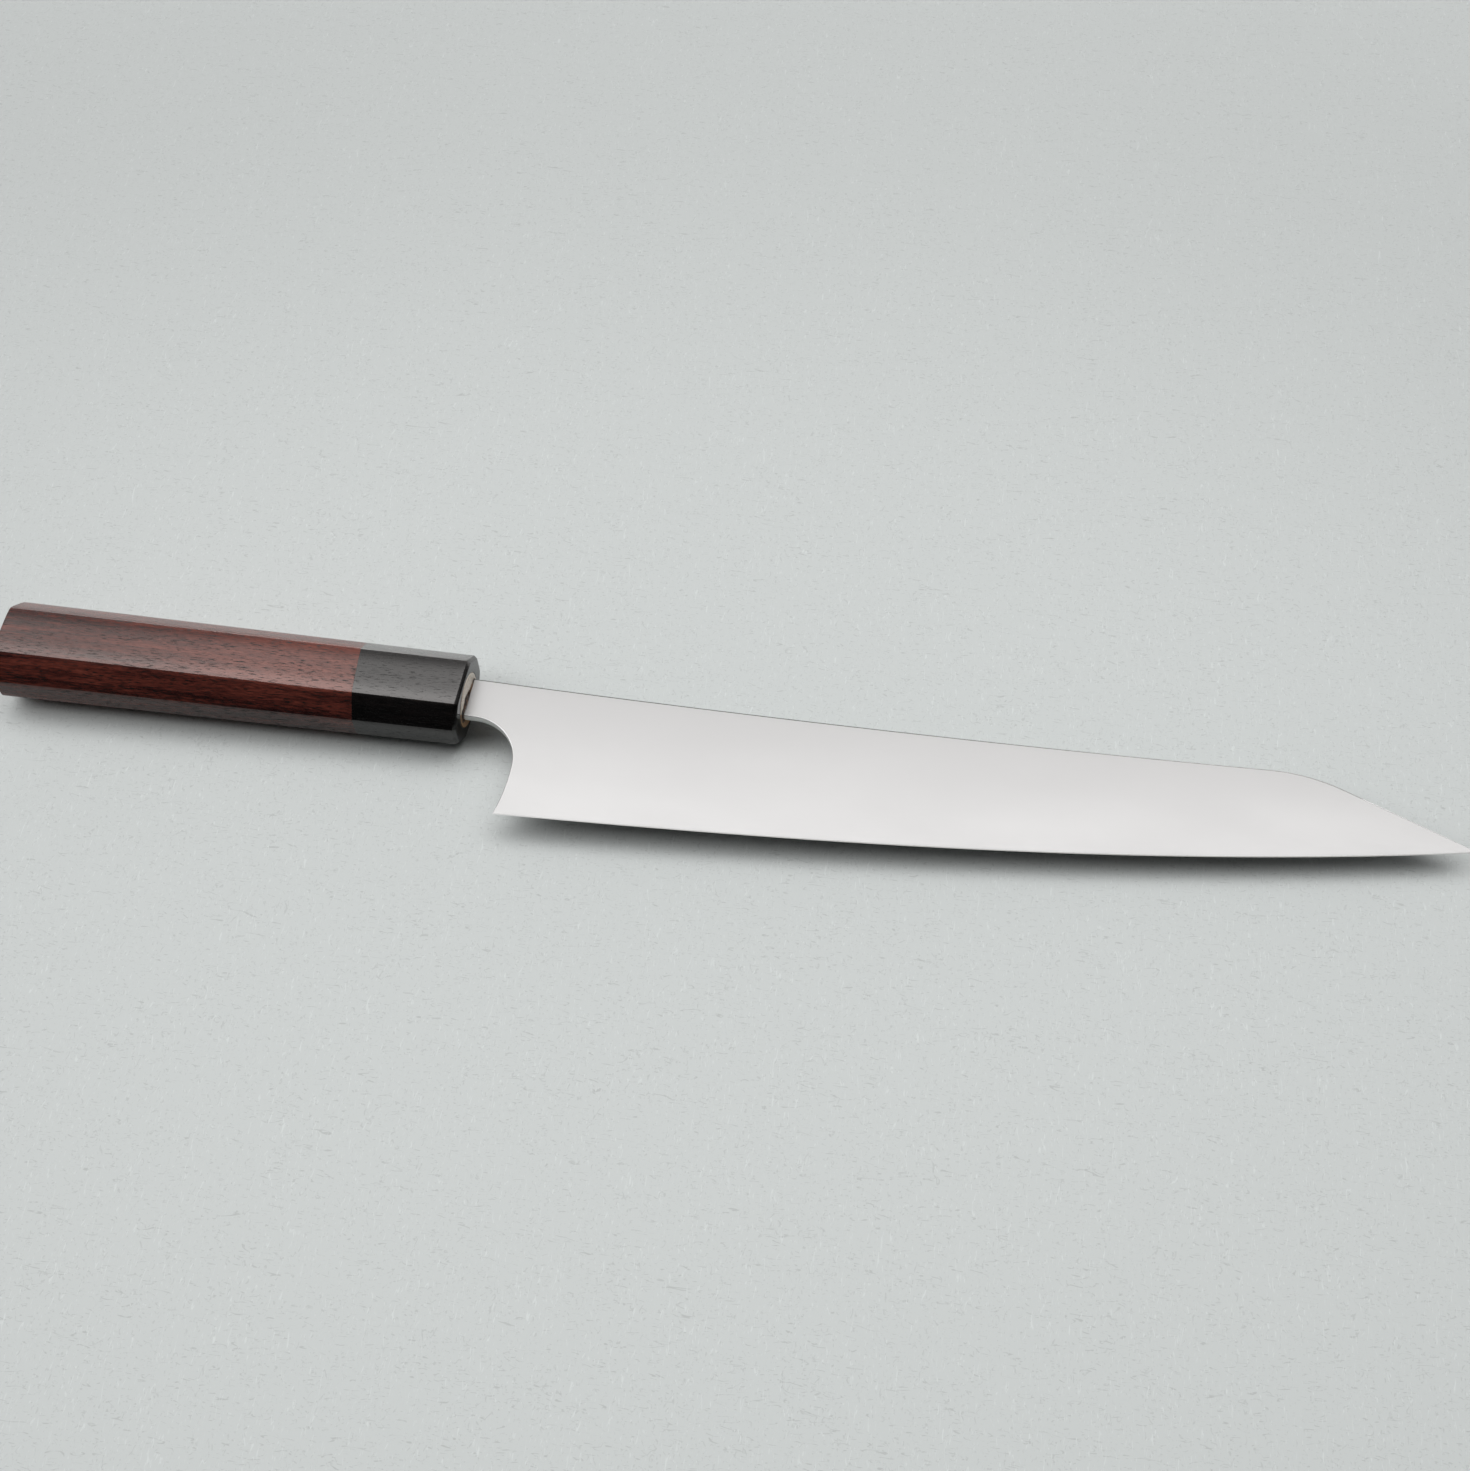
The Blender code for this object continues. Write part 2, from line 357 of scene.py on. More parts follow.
def buildBlade(steels):
    faceMark, rimMark, honedMark, wallMark, spineMark = range(len(steels))
    nearEnd = (0.0, 0.2, 0.7, 1.6, 3.0)  # columns kept close to both ends
    nearNeck = (2.2, 1.5, 0.8, 0.2, -0.4, -1.2, -2.5, -5.0)  # X of columns from neck to tang
    tangSteps = 12
    middle = 130
    arcSteps = 5
    creaseAngle = math.radians(8)
    points, faces, marks = [], [], []

    def addPoint(x, y, z):
        points.append((x, y, z))
        return len(points) - 1

    def addFace(corners, mark):
        if len(set(corners)) > 2:
            faces.append(corners)
            marks.append(mark)

    def addPair(x, y, z):
        return addPoint(x, y, z), addPoint(x, y, -z)

    starts, neckRow = leftEnds()
    heel = Vector((heelX, -blade["heelDrop"]))
    tip = Vector((tipX, -blade["tipDrop"]))
    rows = []
    apex = []
    for share in spread(0, 1, middle + 2 * len(nearEnd) - 2):
        at = edgePoint(share)
        index = addPoint(at.x, at.y, 0)
        apex.append((index, index))
    rows.append(apex)
    # outline entries: inner point, outline point, way out, pair of face vertices
    leftSide = [(heel, heel, Vector((-1, 0)), apex[0])]
    rightSide = [(tip, tip, Vector((1, 0)), apex[-1])]
    for place, point, out in starts:
        level = bladeLevel(place.x, place.y)
        inner, endOutline, endOut = rightEnd(min(level, 1.0))
        span = inner.x - place.x
        edge = nearEnd[-1]
        xs = [place.x + d for d in nearEnd]
        xs += [place.x + edge + (span - 2 * edge) * i / middle for i in range(1, middle)]
        xs += [inner.x - d for d in reversed(nearEnd)]
        row = []
        for x in xs:
            y = bladeHeight(x, level)
            row.append(addPair(x, y, halfThickness(x, y)))
        rows.append(row)
        if point is not None:
            leftSide.append((place, point, out, row[0]))
        rightSide.append((inner, endOutline, endOut, row[-1]))

    # neck and tang carry on from the rows above the choil
    tangXs = list(nearNeck)
    tangXs += spread(-10, -blade["tangLength"] + blade["choilRounding"], tangSteps)
    first = neckRow + 1
    neckRows = rows[first:]
    neckY = [points[row[0][0]][1] for row in neckRows]
    tangColumns = [[row[0] for row in neckRows]]
    for x in tangXs:
        low = tangLow(x) + blade["choilRounding"]
        high = tangHigh(x) - blade["spineRounding"]
        column = []
        for y in neckY:
            share = (y - neckY[0]) / (neckY[-1] - neckY[0])
            height = mix(low, high, share)
            column.append(addPair(x, height, halfThickness(x, height)))
        tangColumns.append(column)

    for side in (0, 1):
        for k in range(len(rows) - 1):
            for j in range(len(rows[k]) - 1):
                corners = (rows[k][j], rows[k][j + 1], rows[k + 1][j + 1], rows[k + 1][j])
                addFace(tuple(c[side] for c in corners), faceMark if k else honedMark)
        for a, b in zip(tangColumns, tangColumns[1:]):
            for k in range(len(a) - 1):
                corners = (a[k], a[k + 1], b[k + 1], b[k])
                addFace(tuple(c[side] for c in corners), faceMark)

    # the outline runs from heel up the choil, round the tang and along the spine to the tip
    outline = list(leftSide)
    down, up, back = Vector((0, -1)), Vector((0, 1)), Vector((-1, 0))

    def rimEntry(pair, out, rounding):
        inner = Vector(points[pair[0]][:2])
        return inner, inner + out * rounding, out, pair

    choilRounding, spineRounding = blade["choilRounding"], blade["spineRounding"]
    for column in tangColumns[1:]:
        outline.append(rimEntry(column[0], down, choilRounding))
    for pair in tangColumns[-1][1:-1]:
        outline.append(rimEntry(pair, back, choilRounding))
    for column in reversed(tangColumns[1:]):
        outline.append(rimEntry(column[-1], up, spineRounding))
    for pair in rows[-1][:-1]:
        x = points[pair[0]][0]
        slope = (spineY(x + 0.5) - spineY(x - 0.5)) if x > 1 else 0.0  # over one mm
        outline.append(rimEntry(pair, Vector((-slope, 1)).normalized(), spineRounding))
    outline += reversed(rightSide)

    profiles = []
    for inner, point, out, pair in outline:
        z = points[pair[0]][2]
        rounding = (point - inner).length
        ring = [pair[0]]
        for turn in spread(0, math.pi / 2, arcSteps)[1:]:
            at = inner + out * rounding * math.sin(turn)
            ring.append(addPoint(at.x, at.y, z - rounding + rounding * math.cos(turn)))
        for turn in spread(math.pi / 2, 0, arcSteps)[:-1]:
            at = inner + out * rounding * math.sin(turn)
            ring.append(addPoint(at.x, at.y, -z + rounding - rounding * math.cos(turn)))
        ring.append(pair[1])
        profiles.append(ring)
    last = len(profiles[0]) - 2
    for a, b in zip(profiles, profiles[1:]):
        onSpine = points[a[0]][1] > 0 and points[b[0]][1] > 0
        for i in range(last + 1):
            choilMark = wallMark if arcSteps - 1 < i < last - arcSteps + 1 else rimMark
            addFace((a[i], a[i + 1], b[i + 1], b[i]), spineMark if onSpine else choilMark)

    piece = addPiece("blade_steel", points, faces, steels, "blade", marks)
    bm = bmesh.new()
    bm.from_mesh(piece.data)
    for edge in bm.edges:
        honed = [face.material_index == honedMark for face in edge.link_faces]
        if any(honed) and (not all(honed) or edge.calc_face_angle(0) > creaseAngle):
            edge.smooth = False
    bm.to_mesh(piece.data)
    bm.free()
    return piece


# Handle shape

def octagonRing(x, inset=0.0):
    # crowned flats joined by small arrises, from the +Y flat round through +Z
    share = min(max(-x / handleLength, 0), 1)
    high = mix(handle["frontHeight"], handle["buttHeight"], share) / 2 - inset
    wide = mix(handle["frontThickness"], handle["buttThickness"], share) / 2 - inset
    leg = mix(handle["frontChamfer"], handle["buttChamfer"], share) - inset * (2 - math.sqrt(2))
    reach = (high, (high + wide - leg) / math.sqrt(2), wide)
    width = (2 * (wide - leg), leg * math.sqrt(2), 2 * (high - leg))
    arris = handle["arris"]
    ring = []
    flatSteps, arrisSteps = 14, 5
    order = (0, 1, 2, 1)
    normals = [Vector((math.cos(i * math.pi / 4), math.sin(i * math.pi / 4))) for i in range(9)]
    crowns = [handle["crown"] * width[order[i % 4]] for i in range(9)]
    lines = [reach[order[i % 4]] - crowns[i] for i in range(9)]

    def corner(i, j):
        a, b = normals[i], normals[j]
        turn = a.x * b.y - a.y * b.x
        return Vector((lines[i] * b.y - lines[j] * a.y, lines[j] * a.x - lines[i] * b.x)) / turn

    for i in range(8):
        before = corner((i - 1) % 8, i)
        after = corner(i, i + 1)
        along = (after - before).normalized()
        trim = arris * math.tan(math.pi / 8)
        start, stop = before + along * trim, after - along * trim
        for turn in spread(-math.pi / 2, math.pi / 2, flatSteps):
            s = math.sin(turn)
            rise = crowns[i] * (1 - abs(s) ** handle["crownPower"])
            point = start.lerp(stop, (s + 1) / 2) + normals[i] * rise
            ring.append((x, point.x, point.y))
        both = normals[i] + normals[i + 1]
        centre = after - both * arris / (1 + normals[i].dot(normals[i + 1]))
        for turn in spread(i * math.pi / 4, (i + 1) * math.pi / 4, arrisSteps)[1:-1]:
            ring.append((x, centre.x + arris * math.cos(turn), centre.y + arris * math.sin(turn)))
    return ring


def circleRing(x, radius, like):
    # one point at the polar angle of each point of another ring
    ring = []
    for _, y, z in like:
        turn = math.atan2(z, y)
        ring.append((x, radius * math.cos(turn), radius * math.sin(turn)))
    return ring


def between(a, b, share):
    return [tuple(mix(p, q, share) for p, q in zip(s, t)) for s, t in zip(a, b)]


def leaned(ring, lean):
    return [(x + lean * y, y, z) for x, y, z in ring]


def bevelRings(end, bevel, soft, way):
    # a flat bevel with both of its corners softened; way is 1 for the front and -1 for the butt
    length, inset = bevel
    steps = (
        (-length - soft, 0.0),
        (-length - soft * 0.3, inset * 0.015),
        (-length + soft * 0.45, inset * 0.09),
        (-length * 0.5, inset * 0.5),
        (-soft * 0.75, inset * 0.92),
        (-soft * 0.2, inset * 1.0),
        (0.0, inset + soft * 0.7),
    )
    return [octagonRing(end + way * back, step) for back, step in steps]


def buildGrip(rosewood):
    front = handle["seamAt"] - handle["seam"] / 2
    length = handle["buttBevel"][0]
    soft = handle["gripSoft"]
    end = handle["buttEnd"]
    atSeam = (front, front - handle["seamBand"])
    rings = [leaned(octagonRing(x), handle["seamLean"]) for x in atSeam]
    straight = (front - handle["leanFade"], end + length + 2 * soft)
    rings += [octagonRing(x) for x in spread(*straight, 18)]
    rings += bevelRings(end, handle["buttBevel"], soft, -1)
    outer = rings[-1]
    middle = [(outer[0][0], 0.0, 0.0)] * len(outer)
    rings += [between(outer, middle, share) for share in (0.12, 0.4, 0.7)]
    points, faces = ringFaces(rings, False)
    return addPiece("grip_rosewood", points, faces, (rosewood,), "grip")


def buildFerrule(ebony, endEbony):
    back = handle["seamAt"] + handle["seam"] / 2
    length = handle["ferruleBevel"][0]
    soft = handle["ferruleSoft"]
    bore = dowel["radius"] + dowel["boreGap"]
    front = handle["ferruleFace"]
    lean = handle["faceLean"]
    leanRoom = 0.6  # keeps the straight part clear of the leaning front
    mouthBevel = 0.05
    atSeam = (back, back + handle["seamBand"])
    rings = [leaned(octagonRing(x), handle["seamLean"]) for x in atSeam]
    straight = (back + handle["leanFade"], front - length - 2 * soft - leanRoom)
    rings += [octagonRing(x) for x in spread(*straight, 8)]
    bevel = bevelRings(front, handle["ferruleBevel"], soft, 1)
    rings += [leaned(ring, lean) for ring in bevel]
    face = rings[-1]
    outside = len(rings) - 1
    mouth = leaned(circleRing(front, bore + mouthBevel, face), lean)
    rings += [between(face, mouth, share) for share in (0.15, 0.5, 0.85)]
    rings += [mouth, leaned(circleRing(front - mouthBevel, bore, face), lean)]
    rings += [circleRing(x, bore, face) for x in (dowel["leanFrom"], back / 2, back)]
    points, faces = ringFaces(rings, True)
    marks = [0 if i < outside * len(face) else 1 for i in range(len(faces))]
    return addPiece("ferrule_ebony", points, faces, (ebony, endEbony), "ferrule", marks)


# Dowel core and the filler round the tang

# burnt mouth of the slot in the dowel's end: (Y, Z) round from the spine side through +Z
slotMouth = (
    (7.3, 0.0), (7.0, 1.0), (4.4, 1.8), (2.1, 2.2), (0.4, 3.3), (-1.0, 3.9), (-2.3, 4.2),
    (-3.0, 3.5), (-4.0, 3.6), (-4.7, 3.0), (-5.9, 3.4), (-6.8, 3.1), (-7.5, 1.2), (-7.3, -0.8),
    (-6.4, -2.3), (-4.4, -2.9), (-2.2, -2.5), (0.0, -3.1), (2.4, -2.6), (5.0, -2.5), (6.8, -1.5),
)


def mouthReach(turn):
    # distance of the mouth's outline from the middle, eased between its points
    polar = sorted((math.atan2(z, y) % (2 * math.pi), math.hypot(y, z)) for y, z in slotMouth)
    turn %= 2 * math.pi
    for i in range(len(polar)):
        a, b = polar[i], polar[(i + 1) % len(polar)]
        span = (b[0] - a[0]) % (2 * math.pi)
        share = ((turn - a[0]) % (2 * math.pi)) / span
        if share <= 1:
            return mix(a[1], b[1], ease(share))
    return polar[0][1]


def slabReach(turn, low, high, half):
    # distance to the side of an upright slot from low to high and half wide each way
    y, z = math.cos(turn), math.sin(turn)
    toEnd = (high if y > 0 else -low) / max(abs(y), 1e-6)
    toSide = half / max(abs(z), 1e-6)
    return min(toEnd, toSide)


def coreTurns():
    turns = spread(0, 2 * math.pi, 132)[:-1]
    for y in (tangHigh(0), tangLow(0)):
        for z in (blade["spineAtNeck"] / 2, -blade["spineAtNeck"] / 2):
            turns.append(math.atan2(z, y) % (2 * math.pi))
    return sorted(turns)


def polarRing(x, reach):
    ring = []
    for turn in coreTurns():
        r = reach(turn)
        ring.append((x, r * math.cos(turn), r * math.sin(turn)))
    return ring


def slotRing(x, clearance):
    low, high = tangLow(x) - clearance, tangHigh(x) + clearance
    half = spineThickness(x) / 2 + clearance
    return polarRing(x, lambda turn: slabReach(turn, low, high, half))


def buildDowel(paleWood):
    radius = dowel["radius"]
    rim = dowel["rimBreak"]
    end = -blade["tangLength"] - dowel["slotClearance"]
    back = end - dowel["pastTang"]
    wide = dowel["slotClearance"]
    bevel = dowel["backBevel"]
    deep, inset = dowel["mouthBreak"]

    def endRing(x, reach):
        return leaned(polarRing(dowel["endAt"] + x, reach), dowel["endLean"])

    mouth = endRing(0.0, mouthReach)
    outer = endRing(0.0, lambda turn: radius - rim)
    rings = [polarRing(back, lambda turn: radius - bevel)]
    straight = (back + bevel, -60.0, -30.0, dowel["leanFrom"])
    rings += [polarRing(x, lambda turn: radius) for x in straight]
    rings += [endRing(-rim, lambda turn: radius)]
    rings += [endRing(-rim * 0.3, lambda turn: radius - rim * 0.3), outer]
    rings += [between(outer, mouth, share) for share in (0.1, 0.4, 0.7, 0.92)]
    rings += [mouth, endRing(-deep, lambda turn: mouthReach(turn) - inset)]
    rings += [slotRing(x, wide) for x in (-dowel["mouthDepth"], *dowel["slotAt"], end + wide)]
    points, faces = ringFaces(rings, False)
    return addPiece("dowel_end_grain", points, faces, (paleWood,), "dowel_core")


def buildFiller(darkFiller, fillerLipHighlight):
    # fills the slot to the tang; its uneven skin climbs onto the blade's sides as a small fillet
    wide = dowel["slotClearance"] - 0.04
    end = -blade["tangLength"] - 0.3
    hairline = 0.01  # between filler and tang
    sunk = 0.2  # how deep the skin's rim lies below the dowel's end
    swell = 0.12  # rise between rim and steel
    rimGap = 0.18
    highlightBelow = -1.5
    # waves of the skin: height, count, phase, twist from steel to rim
    waves = ((0.16, 3, 0.6, 0), (0.10, 7, 2.1, 0), (0.07, 13, 0.3, 4))

    def fillerSkin(turn, share):
        wave = sum(h * math.sin(n * turn + phase + twist * share) for h, n, phase, twist in waves)
        climb = dowel["fillet"] * (1 - share) ** 2
        return dowel["endAt"] - sunk + (wave + swell) * math.sin(math.pi * share) ** 0.8 + climb

    inner = slotRing(0.5, hairline)
    outer = polarRing(-sunk, lambda turn: mouthReach(turn) - rimGap)
    rings = [slotRing(x, hairline) for x in (end, -40.0, -6.0, -1.2)]
    for share in (0.0, 0.12, 0.3, 0.5, 0.7, 0.88, 1.0):
        ring = []
        for turn, a, b in zip(coreTurns(), inner, outer):
            ring.append((fillerSkin(turn, share), mix(a[1], b[1], share), mix(a[2], b[2], share)))
        rings.append(leaned(ring, dowel["endLean"]))
    below = -dowel["mouthDepth"] - 0.1
    rings += [slotRing(x, wide) for x in (below, *dowel["slotAt"], end)]
    points, faces = ringFaces(rings, True)
    # painted highlight: the skin's first strip, against the steel, is paler along the cutting
    # edge's half
    count = len(inner)
    strip = range(4 * count, 5 * count)
    isHighlight = [inner[i % count][1] < highlightBelow for i in range(len(faces))]
    marks = [1 if i in strip and isHighlight[i] else 0 for i in range(len(faces))]
    fillers = (darkFiller, fillerLipHighlight)
    return addPiece("tang_filler", points, faces, fillers, "tang_bedding", marks)


# Material helpers

class nodeBoard:
    # a new material with short ways to add and join its nodes

    def __init__(self, name):
        self.material = bpy.data.materials.new(name)
        self.material.use_nodes = True
        self.tree = self.material.node_tree
        self.shader = self.tree.nodes["Principled BSDF"]

    def add(self, kind, **values):
        node = self.tree.nodes.new(kind)
        for key, value in values.items():
            setattr(node, key, value)
        return node

    def join(self, source, target):
        self.tree.links.new(source, target)

    def place(self, stretch=(1.0, 1.0, 1.0)):
        # knife frame coordinates in metres, drawn out by stretch for grain along the knife
        coords = self.add("ShaderNodeTexCoord")
        mapping = self.add("ShaderNodeMapping", vector_type="TEXTURE")
        mapping.inputs["Location"].default_value = knifeFrame.translation
        mapping.inputs["Rotation"].default_value = knifeFrame.to_euler()
        mapping.inputs["Scale"].default_value = stretch
        self.join(coords.outputs["Object"], mapping.inputs["Vector"])
        return mapping.outputs["Vector"]

    def axes(self):
        # X, Y and Z in the knife frame, each on its own
        node = self.add("ShaderNodeSeparateXYZ")
        self.join(self.place(), node.inputs[0])
        return node.outputs

    def noise(self, vector, scale, detail=2.0, roughness=0.5, distortion=0.0):
        node = self.add("ShaderNodeTexNoise")
        node.inputs["Scale"].default_value = scale
        node.inputs["Detail"].default_value = detail
        node.inputs["Roughness"].default_value = roughness
        node.inputs["Distortion"].default_value = distortion
        self.join(vector, node.inputs["Vector"])
        return node.outputs["Fac"]

    def ramp(self, source, stops, smooth=False):
        node = self.add("ShaderNodeValToRGB")
        if smooth:
            node.color_ramp.interpolation = "EASE"
        elements = node.color_ramp.elements
        while len(elements) < len(stops):
            elements.new(0.5)
        for element, (position, colour) in zip(elements, stops):
            element.position = position
            element.color = (*colour, 1) if isinstance(colour, tuple) else (colour,) * 3 + (1,)
        self.join(source, node.inputs["Fac"])
        return node.outputs["Color"]

    def blend(self, share, a, b, mode="MIX"):
        node = self.add("ShaderNodeMix", data_type="RGBA", blend_type=mode)
        self.feed(share, node.inputs[0])
        self.feed(a, node.inputs[6])
        self.feed(b, node.inputs[7])
        return node.outputs[2]

    def math(self, operation, a, b=0.0):
        node = self.add("ShaderNodeMath", operation=operation)
        self.feed(a, node.inputs[0])
        self.feed(b, node.inputs[1])
        return node.outputs[0]

    def span(self, value, low, high):
        # 0 at low to 1 at high
        node = self.add("ShaderNodeMapRange", interpolation_type="SMOOTHSTEP")
        self.feed(value, node.inputs["Value"])
        node.inputs["From Min"].default_value = low
        node.inputs["From Max"].default_value = high
        return node.outputs["Result"]

    def feed(self, value, socket):
        if isinstance(value, bpy.types.NodeSocket):
            self.join(value, socket)
        elif isinstance(value, tuple):
            socket.default_value = (*value, 1)
        else:
            socket.default_value = value

    def bump(self, height, strength, distance):
        node = self.add("ShaderNodeBump")
        node.inputs["Strength"].default_value = strength
        node.inputs["Distance"].default_value = distance
        self.join(height, node.inputs["Height"])
        self.join(node.outputs["Normal"], self.shader.inputs["Normal"])

    def finish(self, **values):
        names = dict(colour="Base Color", roughness="Roughness", metallic="Metallic", ior="IOR")
        for key, value in values.items():
            self.feed(value, self.shader.inputs[names[key]])
        return self.material


# Steel finishes

steelLook = dict(
    faceColour=(0.337, 0.332, 0.330),
    faceRoughness=(0.33, 0.39),
    rimColour=(0.43, 0.425, 0.42),
    rimRoughness=0.20,
    honedColour=(0.41, 0.41, 0.405),
    honedRoughness=0.28,
    # painted light: the choil's wall gets a near-white steel colour that brightens its reflection
    # of the shaded floor
    wallColour=(0.92, 0.92, 0.90),
    wallRoughness=0.50,
    # painted shade: dark steel colour on the spine, painted lighter toward the tip
    spineColour=(0.085, 0.09, 0.085),
    spineTipColour=(0.20, 0.20, 0.195),
    spineTurn=(90.0, 240.0),  # the spine's tone changes between these places
    spineRoughness=0.38,
    lineStretch=(20.0, 1.0, 1.0),  # fine finishing lines run heel to tip
    lineScale=5200.0,
    lineBump=0.25,
    lineDepth=0.000004,
    cloudStretch=(3.0, 1.0, 1.0),
    cloudScale=60.0,
    cloudTone=0.97,
    patchRange=(0.35, 0.65),  # the part of the noise that spreads over faceRoughness
    crossStretch=(1.0, 1.0, 10.0),  # lines across the thickness on rim, honed bevel and wall
    crossScale=3000.0,
    crossTone=0.94,
    crossRoughness=0.06,
)


def satinSteel():
    look = steelLook
    board = nodeBoard("satin steel")
    lines = board.noise(board.place(look["lineStretch"]), look["lineScale"], 2.0)
    clouds = board.noise(board.place(look["cloudStretch"]), look["cloudScale"], 2.0)
    halves = [board.math("MULTIPLY", field, 0.5) for field in (lines, clouds)]
    patchy = board.math("ADD", *halves)
    roughness = board.add("ShaderNodeMapRange")
    limits = (*look["patchRange"], *look["faceRoughness"])
    for name, limit in zip(("From Min", "From Max", "To Min", "To Max"), limits):
        roughness.inputs[name].default_value = limit
    board.join(patchy, roughness.inputs["Value"])
    darker = tuple(c * look["cloudTone"] for c in look["faceColour"])
    colour = board.blend(clouds, darker, look["faceColour"])
    board.bump(lines, look["lineBump"], look["lineDepth"])
    return board.finish(colour=colour, roughness=roughness.outputs["Result"], metallic=1.0)


def polishedSteel(part):
    look = steelLook
    colour, roughness = look[part + "Colour"], look[part + "Roughness"]
    board = nodeBoard(part + " steel")
    lines = board.noise(board.place(look["crossStretch"]), look["crossScale"], 1.0)
    tone = board.blend(lines, tuple(c * look["crossTone"] for c in colour), colour)
    change = look["crossRoughness"]
    rough = board.math("ADD", board.math("MULTIPLY", lines, change), roughness - change / 2)
    return board.finish(colour=tone, roughness=rough, metallic=1.0)


def spineSteel():
    # painted shade: a dark spine, painted lighter toward the tip where it mirrors more light
    board = nodeBoard("spine steel")
    along = board.axes()[0]
    low, high = steelLook["spineTurn"]
    forward = board.span(along, low * mm, high * mm)
    tone = board.blend(forward, steelLook["spineColour"], steelLook["spineTipColour"])
    return board.finish(colour=tone, roughness=steelLook["spineRoughness"], metallic=1.0)


# Woods

rosewoodLook = dict(
    tones=((0.36, (0.016, 0.005, 0.005)), (0.45, (0.056, 0.014, 0.011)),
           (0.54, (0.112, 0.027, 0.019)), (0.64, (0.17, 0.046, 0.032))),
    bandScale=150.0,
    streakScale=560.0,
    fibreScale=2300.0,
    pore=(0.004, 0.002, 0.002),
    poreScale=3900.0,
    poreLevel=0.464,
    poreRoughness=0.2,
    poreDepth=0.00004,
    nearArrisLight=0.008,  # painted light: lighter, redder tone along the arris facing the cutting edge
    topFlatShading=0.15,  # painted lighter on the upper flat toward the ferrule, darker toward the butt
    haze=(1.0, 0.87, 0.83),
    roughness=(0.15, 0.25),
    ior=1.67,
    sideShine=0.26,  # shine of the side facets
    farSheen=0.0,  # painted sheen: paler tone of the upper chamfer at the spine side
)

ebonyLook = dict(
    tones=((0.42, (0.0025, 0.0025, 0.0025)), (0.55, (0.006, 0.005, 0.005)),
           (0.66, (0.024, 0.017, 0.014))),
    bandScale=150.0,
    streakScale=700.0,
    fibreScale=2600.0,
    pore=(0.003, 0.003, 0.003),
    poreScale=4200.0,
    poreLevel=0.435,
    poreRoughness=0.15,
    poreDepth=0.00003,
    nearArrisLight=0.0,
    topFlatShading=0.0,
    haze=(1.0, 0.97, 0.95),
    roughness=(0.15, 0.25),
    ior=1.70,
    sideShine=0.30,
    farSheen=0.13,
)

# layers of the grain: fineness in the look, stretch, roughness, distortion, weight
grainLayers = (
    ("bandScale", 26.0, 0.5, 0.5, 0.33),
    ("streakScale", 15.0, 0.55, 0.4, 0.33),
    ("fibreScale", 7.0, 0.6, 0.2, 0.34),
)

# where the handle's painted light and shade and its shine begin and end, in mm of the knife frame
tints = dict(
    nearArrisLightAt=(-7.2, 10.4),  # Y and Z of the arris facing the cutting edge
    nearArrisLightReach=7.0,
    nearArrisLightLow=-0.6,
    topFlatShading=(-120.0, -50.0),  # X
    topFlatShadingEven=0.45,  # share of that way where the tone is unchanged
    upperFlat=(8.8, 9.8),  # Z
    farChamfer=(16.8, 17.0),  # Y and Z added up
    farSheenTone=(1.0, 0.98, 0.96),
    sideFacets=(4.15, 3.95),  # Z on either side
    plainShine=0.5,
)


def paintWoodLight(board, look, axes, tone):
    # painted light and shade along the lower arris and on the upper flat
    offset = [board.math("SUBTRACT", axes[i + 1], tints["nearArrisLightAt"][i] * mm) for i in (0, 1)]
    square = [board.math("MULTIPLY", d, d) for d in offset]
    away = board.math("SQRT", board.math("ADD", *square))
    reach = 1 / (tints["nearArrisLightReach"] * mm)
    near = board.math("SUBTRACT", 1.0, board.math("MULTIPLY", away, reach))
    near = board.math("MAXIMUM", near, tints["nearArrisLightLow"])
    tone = board.math("ADD", tone, board.math("MULTIPLY", near, look["nearArrisLight"]))
    forward = board.span(axes[0], *(x * mm for x in tints["topFlatShading"]))
    forward = board.math("SUBTRACT", forward, tints["topFlatShadingEven"])
    onTop = board.span(axes[2], *(z * mm for z in tints["upperFlat"]))
    top = board.math("MULTIPLY", board.math("MULTIPLY", forward, onTop), look["topFlatShading"])
    return board.math("ADD", tone, top)


# painted sheen: the upper chamfer at the spine side is blended toward a pale tone
def paintChamferSheen(board, look, axes, wood):
    diagonal = board.math("ADD", axes[1], axes[2])
    far = board.span(diagonal, *(d * mm for d in tints["farChamfer"]))
    far = board.math("MULTIPLY", far, look["farSheen"])
    return board.blend(far, wood, tints["farSheenTone"])


def woodShine(board, look, axes, pores):
    # less shine on the side facets and in the pores
    height = board.math("ABSOLUTE", axes[2])
    side = board.span(height, *(z * mm for z in tints["sideFacets"]))
    plain = tints["plainShine"]
    shine = board.math("SUBTRACT", plain, board.math("MULTIPLY", side, plain - look["sideShine"]))
    poreShine = board.math("SUBTRACT", 1.0, board.math("MULTIPLY", pores, 0.5))
    return board.math("MULTIPLY", shine, poreShine)


